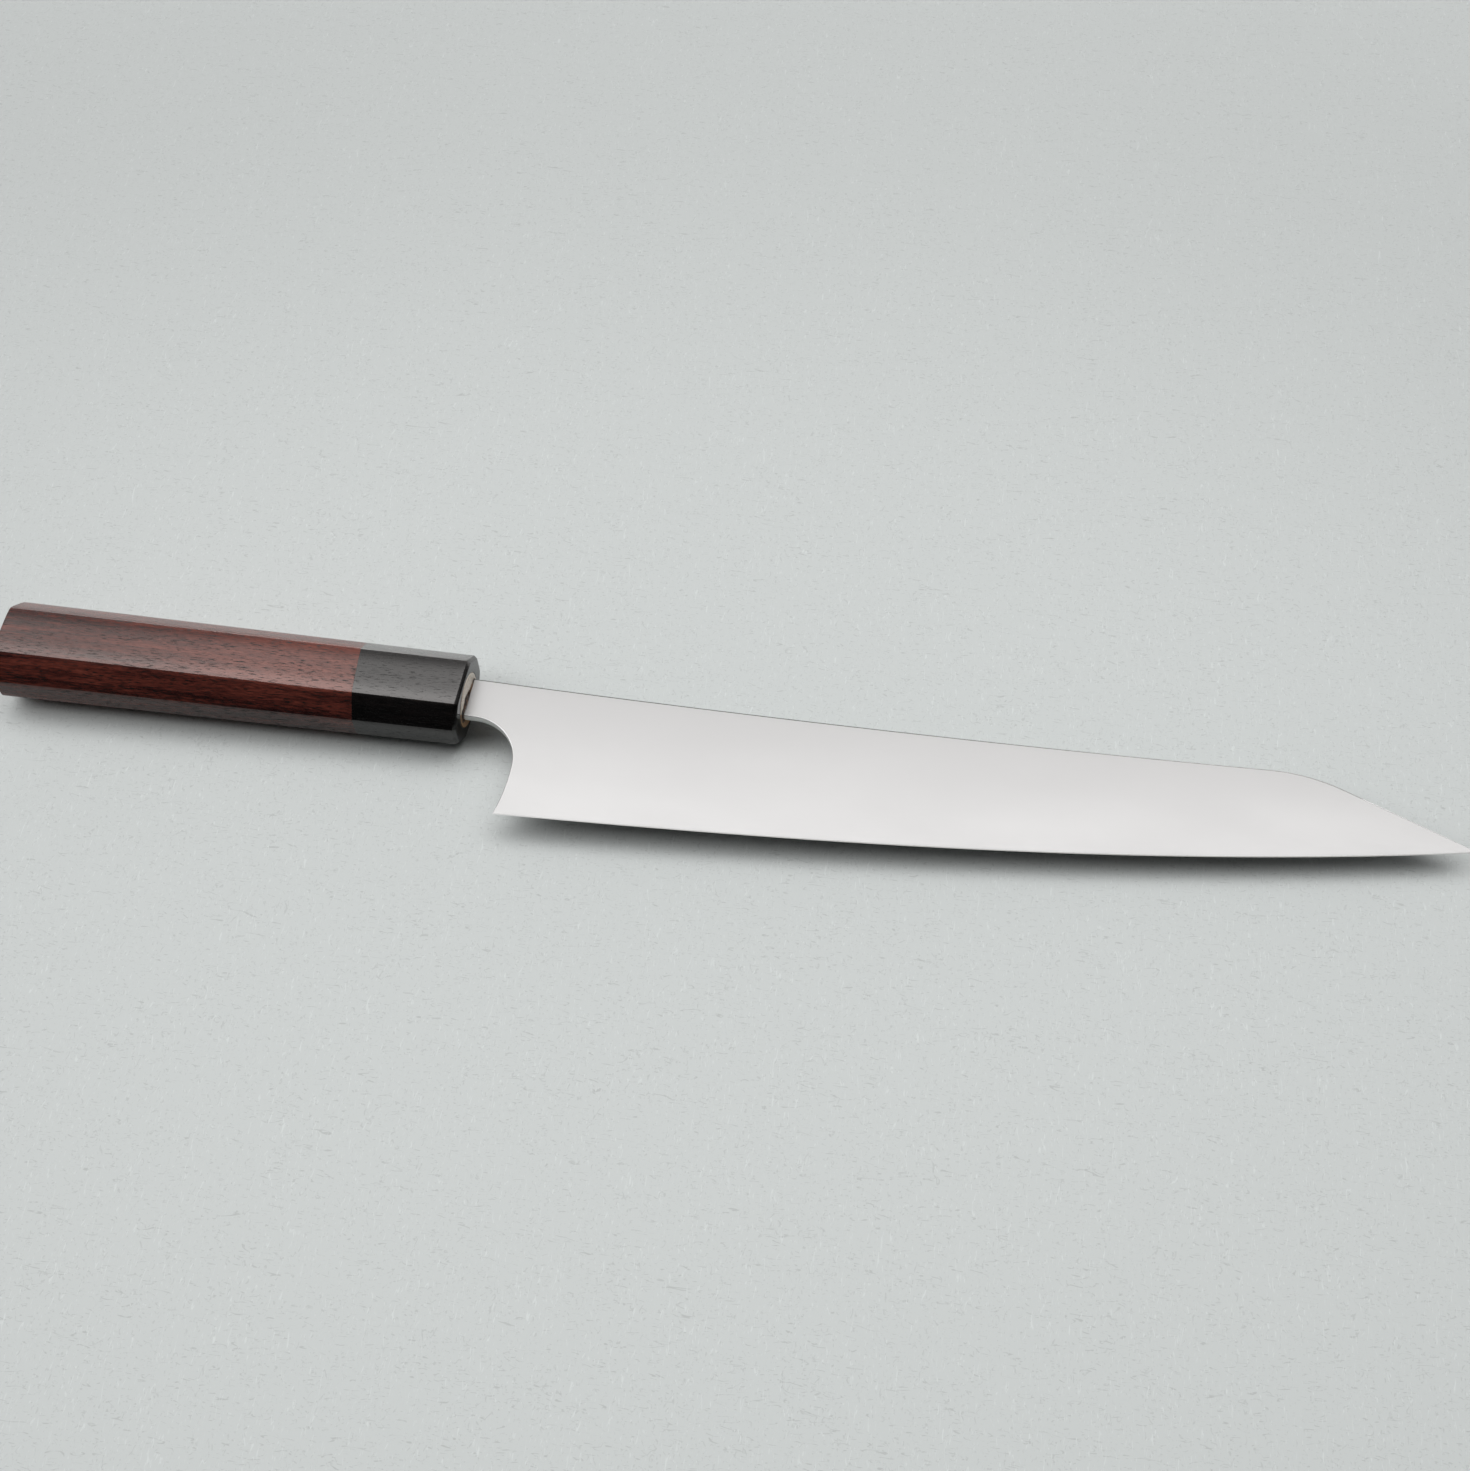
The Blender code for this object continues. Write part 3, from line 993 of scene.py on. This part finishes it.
def polishedWood(name, look):
    # bands, streaks and fibres of growing fineness, with short open pores between them
    board = nodeBoard(name)
    axes = board.axes()
    fields = []
    tone = 0.0
    for scale, stretch, rough, distortion, weight in grainLayers:
        field = board.noise(board.place((stretch, 1.0, 1.0)), look[scale], 2.0, rough, distortion)
        tone = board.math("ADD", tone, board.math("MULTIPLY", field, weight))
        fields.append(field)
    bands = fields[0]
    if look["nearArrisLight"]:
        tone = paintWoodLight(board, look, axes, tone)
    wood = board.ramp(tone, look["tones"])
    dashes = board.noise(board.place((10.0, 1.0, 1.0)), look["poreScale"], 1.0, 0.5, 0.3)
    dashes = board.math("ADD", dashes, board.math("MULTIPLY", bands, 0.2))
    level = look["poreLevel"]
    pores = board.ramp(dashes, ((level, 1.0), (level + 0.04, 0.0)), True)
    if look["farSheen"]:
        wood = paintChamferSheen(board, look, axes, wood)
    colour = board.blend(pores, wood, look["pore"])
    low, high = look["roughness"]
    rough = board.math("ADD", board.math("MULTIPLY", bands, high - low), low)
    rough = board.math("ADD", rough, board.math("MULTIPLY", pores, look["poreRoughness"]))
    board.bump(pores, -0.7, look["poreDepth"])
    shine = woodShine(board, look, axes, pores)
    board.feed(shine, board.shader.inputs["Specular IOR Level"])
    board.shader.inputs["Specular Tint"].default_value = (*look["haze"], 1)
    return board.finish(colour=colour, roughness=rough, ior=look["ior"])


endEbonyLook = dict(
    dark=(0.005, 0.005, 0.005), pale=(0.022, 0.019, 0.017), speckScale=2600.0, roughness=0.06
)


def endEbony():
    look = endEbonyLook
    board = nodeBoard("polished ebony end")
    specks = board.noise(board.place(), look["speckScale"], 2.0, 0.6)
    colour = board.ramp(specks, ((0.4, look["dark"]), (0.65, look["pale"])))
    return board.finish(colour=colour, roughness=look["roughness"])


dowelLook = dict(
    pale=(0.95, 0.84, 0.70),
    tan=(0.76, 0.61, 0.46),
    wall=(0.40, 0.36, 0.34),
    paintedShade=(0.50, 0.29, 0.15),  # painted shade on the part toward the cutting edge, under the blade
    paintedWallShade=(0.03, 0.02, 0.014),
    paintedShadeFrom=(-5.5, -4.9),  # height of its border, over a slope down toward the upper side
    paintedShadeSlope=0.587,
    wallFrom=(0.06, 0.18),  # depth below the end where the slot's wall begins
    grainStretch=(3.0, 1.0, 1.0),
    grainScale=1500.0,
    grainBump=(0.3, 0.0001),  # strength and depth
    roughness=0.22,
)


def endGrain():
    look = dowelLook
    board = nodeBoard("pale dowel wood")
    grain = board.noise(board.place(look["grainStretch"]), look["grainScale"], 3.0, 0.6)
    wood = board.ramp(grain, ((0.38, look["tan"]), (0.58, look["pale"])))
    along, up, out = board.axes()
    # painted shade below a sloping border near the blade's lower edge, on end and wall
    height = board.math("ADD", up, board.math("MULTIPLY", out, look["paintedShadeSlope"]))
    outOfShade = board.span(height, *(y * mm for y in look["paintedShadeFrom"]))
    end = board.math("MULTIPLY", up, dowel["endLean"])
    end = board.math("ADD", end, dowel["endAt"] * mm)
    depth = board.math("MULTIPLY", board.math("SUBTRACT", end, along), 1 / mm)
    shallow, deep = look["wallFrom"]
    onWall = board.ramp(depth, ((shallow, 0.0), (deep, 1.0)), True)
    face = board.blend(outOfShade, look["paintedShade"], wood)
    wall = board.blend(outOfShade, look["paintedWallShade"], look["wall"])
    board.bump(grain, *look["grainBump"])
    colour = board.blend(onWall, face, wall)
    return board.finish(colour=colour, roughness=look["roughness"])


fillerLook = dict(
    dark=(0.016, 0.009, 0.006),
    amber=(0.17, 0.085, 0.038),
    # painted highlight on the filler's lip against the blade
    lipHighlight=(0.75, 0.67, 0.57),
    darkScale=900.0,
    lipHighlightScale=1400.0,
    darkBump=(0.7, 0.0002),  # strength and depth
    roughness=0.5,
)


def burntFiller():
    look = fillerLook
    board = nodeBoard("dark filler")
    lumps = board.noise(board.place(), look["darkScale"], 3.0, 0.6)
    colour = board.ramp(lumps, ((0.42, look["dark"]), (0.62, look["amber"])))
    board.bump(lumps, *look["darkBump"])
    return board.finish(colour=colour, roughness=look["roughness"])


# painted highlight for the filler's lip against the blade
def fillerLipHighlight():
    look = fillerLook
    board = nodeBoard("filler lip highlight")
    lumps = board.noise(board.place(), look["lipHighlightScale"], 3.0, 0.6)
    colour = board.ramp(lumps, ((0.42, look["amber"]), (0.52, look["lipHighlight"])))
    return board.finish(colour=colour, roughness=look["roughness"])


# Studio

shot = dict(
    imageSize=(1470, 1471),
    focalPixels=1800.0,
    elevation=59.49,  # camera axis above the horizon
    yaw=7.673,  # knife turned clockwise in the view, seen from above
    roll=0.112,
    depth=520.694,  # from the camera plane to the ferrule's front, in mm
    ferrulePixel=(469.168, 700.113),
    sensorWidth=36.0,
    clip=(0.01, 50),  # in metres
)


def turnedAxes():
    # rows: the camera's right, up and back directions in the knife frame
    e, t, r = (math.radians(shot[key]) for key in ("elevation", "yaw", "roll"))
    yaw = Matrix(((math.cos(t), math.sin(t), 0), (-math.sin(t), math.cos(t), 0), (0, 0, 1)))
    pitch = Matrix(((1, 0, 0), (0, math.sin(e), math.cos(e)), (0, -math.cos(e), math.sin(e))))
    roll = Matrix(((math.cos(r), -math.sin(r), 0), (math.sin(r), math.cos(r), 0), (0, 0, 1)))
    return roll @ pitch @ yaw


def addCamera():
    axes = turnedAxes()
    width, height = shot["imageSize"]
    focal = shot["focalPixels"]
    px, py = shot["ferrulePixel"]
    depth = shot["depth"]
    across, up = (px - width / 2) / focal * depth, (height / 2 - py) / focal * depth
    spot = axes.transposed() @ -Vector((across, up, -depth)) * mm
    data = bpy.data.cameras.new("photo camera")
    data.sensor_fit = "HORIZONTAL"
    data.sensor_width = shot["sensorWidth"]
    data.lens = focal / width * data.sensor_width
    data.clip_start, data.clip_end = shot["clip"]
    camera = bpy.data.objects.new("photo camera", data)
    bpy.context.scene.collection.objects.link(camera)
    camera.matrix_world = knifeFrame @ Matrix.Translation(spot) @ axes.transposed().to_4x4()
    bpy.context.scene.camera = camera


studio = dict(
    floorColour=(0.575, 0.600, 0.592),
    # paper fibres: stretch, fineness, tone
    floorFibres=(((4.0, 1.0, 1.0), 760.0, 0.80), ((1.0, 5.0, 1.0), 820.0, 1.12),
                 ((1.0, 1.6, 1.0), 560.0, 0.86)),
    fibreBend=3.2,
    fibreRamp=((0.63, 0.0), (0.74, 1.0)),
    # painted falloff of light behind the knife and away from its middle, over these metres
    floorBack=0.93,
    floorBackSpan=(0.04, 0.26),
    floorEdge=0.90,
    floorEdgeSpan=(0.10, 0.40),
    floorMiddle=0.07,
    floorRoughness=0.55,
    floorSize=6.0,
    floorDrop=0.00005,  # a hair below the knife
    skyStrength=3.4,
    # share of the overhead light by angle from the zenith: toward the back, then to the right
    skyAhead=((-14, 0.0), (-6, 0.10), (2, 0.42), (10, 0.82), (16, 1.0), (22, 0.97), (27, 0.80),
              (32, 0.55), (37, 0.28), (44, 0.13), (54, 0.07), (70, 0.0)),
    skyRight=((-90, 0.4), (-66, 1.2), (-38, 1.10), (-23, 0.95), (-12, 1.08), (2, 1.03), (14, 1.02),
              (24, 1.03), (32, 0.93), (42, 0.46), (52, 0.12), (64, 0.03), (90, 0.0)),
    # softer light from the front left
    fillStrength=4.0,
    fillAhead=((-28, 0.0), (-19, 0.5), (-10, 1.1), (0, 0.95), (10, 0.0)),
    fillRight=((-80, 0.0), (-62, 0.8), (-45, 1.0), (-28, 0.8), (-12, 0.0)),
    # pale wall low at the back, seen in reflections only
    wallStrength=7.0,
    wallAhead=((56, 0.0), (70, 1.0), (90, 0.6)),
    wallRight=((-60, 0.0), (-30, 0.5), (-5, 1.0), (20, 1.0), (45, 0.5), (70, 0.0)),
)


def viewAxes():
    # the view's right and ahead directions, level with the table
    t = math.radians(shot["yaw"])
    return Vector((math.cos(t), math.sin(t), 0)), Vector((-math.sin(t), math.cos(t), 0))


def addWorld():
    world = bpy.data.worlds.new("studio")
    world.use_nodes = True
    bpy.context.scene.world = world
    tree = world.node_tree
    tree.nodes.clear()
    coords = tree.nodes.new("ShaderNodeTexCoord")

    def part(axis):
        node = tree.nodes.new("ShaderNodeVectorMath")
        node.operation = "DOT_PRODUCT"
        node.inputs[1].default_value = axis
        tree.links.new(coords.outputs["Generated"], node.inputs[0])
        return node.outputs["Value"]

    def work(operation, a, b=0.0):
        node = tree.nodes.new("ShaderNodeMath")
        node.operation = operation
        for value, socket in ((a, node.inputs[0]), (b, node.inputs[1])):
            if isinstance(value, float):
                socket.default_value = value
            else:
                tree.links.new(value, socket)
        return node.outputs[0]

    def byAngle(angle, stops):
        # shares are halved to keep the ramp's colours below one
        node = tree.nodes.new("ShaderNodeValToRGB")
        elements = node.color_ramp.elements
        while len(elements) < len(stops):
            elements.new(1.0)
        for element, (degrees, share) in zip(elements, stops):
            element.position = degrees / 180 + 0.5
            element.color = (share / 2, share / 2, share / 2, 1)
        turned = work("ADD", work("MULTIPLY", angle, 1 / math.pi), 0.5)
        tree.links.new(turned, node.inputs["Fac"])
        return node.outputs["Color"]

    right, ahead = viewAxes()
    aheadAngle = work("ARCTAN2", part(ahead), part(Vector((0, 0, 1))))
    rightAngle = work("ARCSINE", part(right))
    lights = []
    for name in ("sky", "fill", "wall"):
        height = byAngle(aheadAngle, studio[name + "Ahead"])
        width = byAngle(rightAngle, studio[name + "Right"])
        both = work("MULTIPLY", height, width)
        # four times, as each of the two shares is halved
        lights.append(work("MULTIPLY", both, 4 * studio[name + "Strength"]))
    path = tree.nodes.new("ShaderNodeLightPath")
    wall = work("MULTIPLY", lights[2], path.outputs["Is Glossy Ray"])
    soft = work("ADD", lights[0], lights[1])
    room = tree.nodes.new("ShaderNodeBackground")
    room.inputs["Color"].default_value = (1, 1, 1, 1)
    tree.links.new(work("ADD", soft, wall), room.inputs["Strength"])
    pale = tree.nodes.new("ShaderNodeBackground")
    pale.inputs["Color"].default_value = (*studio["floorColour"], 1)
    # the camera itself sees a plain pale ground
    choice = tree.nodes.new("ShaderNodeMixShader")
    tree.links.new(path.outputs["Is Camera Ray"], choice.inputs[0])
    tree.links.new(room.outputs[0], choice.inputs[1])
    tree.links.new(pale.outputs[0], choice.inputs[2])
    output = tree.nodes.new("ShaderNodeOutputWorld")
    tree.links.new(choice.outputs[0], output.inputs["Surface"])


def addFloor():
    board = nodeBoard("pale paper floor")
    base = studio["floorColour"]
    colour = base
    for stretch, scale, change in studio["floorFibres"]:
        fibres = board.noise(board.place(stretch), scale, 1.0, 0.5, studio["fibreBend"])
        share = board.ramp(fibres, studio["fibreRamp"])
        colour = board.blend(share, colour, tuple(c * change for c in base))
    along, back, _ = board.axes()
    sideways = board.math("SUBTRACT", along, studio["floorMiddle"])
    squares = [board.math("MULTIPLY", d, d) for d in (sideways, back)]
    away = board.math("SQRT", board.math("ADD", *squares))
    # painted falloff of light on the floor's colour
    for part, distance in (("Back", back), ("Edge", away)):
        tone = studio["floor" + part]
        share = board.span(distance, *studio["floor" + part + "Span"])
        dimmed = board.blend(1.0, colour, (tone, tone, tone), "MULTIPLY")
        colour = board.blend(share, colour, dimmed)
    material = board.finish(colour=colour, roughness=studio["floorRoughness"])
    half = studio["floorSize"] / 2
    mesh = bpy.data.meshes.new("table_top")
    corners = [(-half, -half, 0), (half, -half, 0), (half, half, 0), (-half, half, 0)]
    mesh.from_pydata(corners, [], [(0, 1, 2, 3)])
    mesh.materials.append(material)
    floor = bpy.data.objects.new("table_top", mesh)
    bpy.context.scene.collection.objects.link(floor)
    floor.location.z = -studio["floorDrop"]


steels = [satinSteel()] + [polishedSteel(part) for part in ("rim", "honed", "wall")]
steels.append(spineSteel())
print("finishes mixed")
buildBlade(steels)
buildFerrule(polishedWood("polished ebony", ebonyLook), endEbony())
buildGrip(polishedWood("oiled rosewood", rosewoodLook))
buildDowel(endGrain())
buildFiller(burntFiller(), fillerLipHighlight())

addCamera()
addWorld()
addFloor()
bpy.context.scene.view_settings.view_transform = "Standard"
print("studio lit and camera placed")
